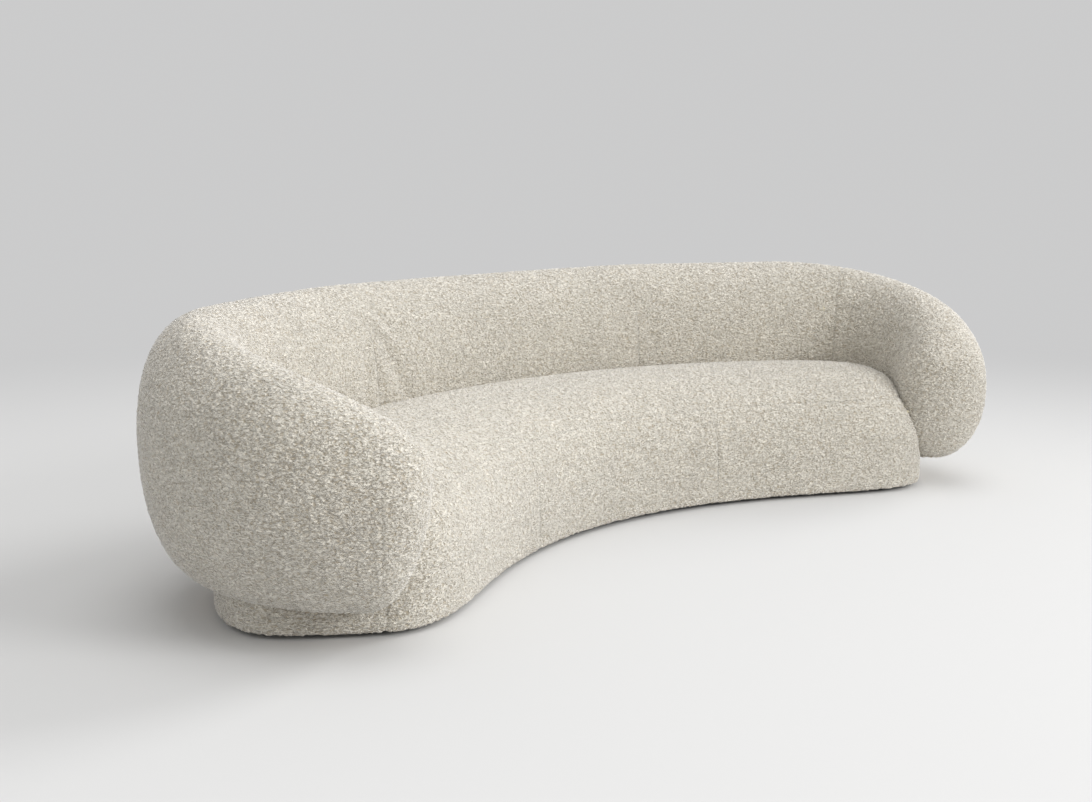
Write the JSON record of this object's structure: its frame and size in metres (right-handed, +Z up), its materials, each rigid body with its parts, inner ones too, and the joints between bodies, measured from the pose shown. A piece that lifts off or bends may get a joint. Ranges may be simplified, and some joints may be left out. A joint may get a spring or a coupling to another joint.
{
  "type": "curved sofa",
  "caption": "Crescent sofa with a tight boucle seat body and a thick rounded back that wraps round it, sinks along the arms and ends in round noses.",
  "frame": {"origin": "on the floor under the middle of the sofa's length and depth", "axes": "+X along the sofa's length, +Z up, the seat is open towards -Y"},
  "size_m": [3.0222, 1.3088, 0.72],
  "materials": {
    "boucle": "looped cream boucle",
    "foam": "open cell foam",
    "plywood": "raw birch plywood",
    "webbing": "woven elastic webbing",
    "dust_cloth": "thin non-woven cloth",
    "glide_plastic": "matte"
  },
  "bodies": {
    "root": {"arm_cover_left": "boucle", "arm_cover_right": "boucle", "back_bottom_rail": "plywood", "back_cover_centre": "boucle", "back_cover_left": "boucle", "back_cover_right": "boucle", "back_inner_foam": "foam", "back_inner_panel": "plywood", "back_outer_foam": "foam", "back_outer_panel": "plywood", "back_rib_arm_left": "plywood", "back_rib_arm_right": "plywood", "back_rib_centre": "plywood", "back_rib_former_left": "plywood", "back_rib_former_right": "plywood", "back_rib_inner_left": "plywood", "back_rib_inner_right": "plywood", "back_rib_middle_left": "plywood", "back_rib_middle_right": "plywood", "back_rib_outer_left": "plywood", "back_rib_outer_right": "plywood", "back_top_rail": "plywood", "base_plate": "plywood", "dust_cover": "dust_cloth", "front_border_cover_centre": "boucle", "front_border_cover_left": "boucle", "front_border_cover_right": "boucle", "front_border_foam": "foam", "front_panel": "plywood", "glide_1": "glide_plastic", "glide_2": "glide_plastic", "glide_3": "glide_plastic", "glide_4": "glide_plastic", "glide_5": "glide_plastic", "glide_6": "glide_plastic", "mount_block_centre": "plywood", "mount_block_left": "plywood", "mount_block_right": "plywood", "nose_cover_left": "boucle", "nose_cover_right": "boucle", "nose_foam_left": "foam", "nose_foam_right": "foam", "rear_border_cover": "boucle", "rear_border_foam": "foam", "rear_panel": "plywood", "seat_deck": "plywood", "seat_foam": "foam", "seat_rib_1": "plywood", "seat_rib_2": "plywood", "seat_rib_3": "plywood", "seat_rib_4": "plywood", "seat_rib_5": "plywood", "seat_rib_6": "plywood", "seat_top_cover": "boucle", "webbing_strap_1": "webbing", "webbing_strap_2": "webbing", "webbing_strap_3": "webbing", "webbing_strap_4": "webbing", "webbing_strap_5": "webbing"}
  },
  "joints": []
}
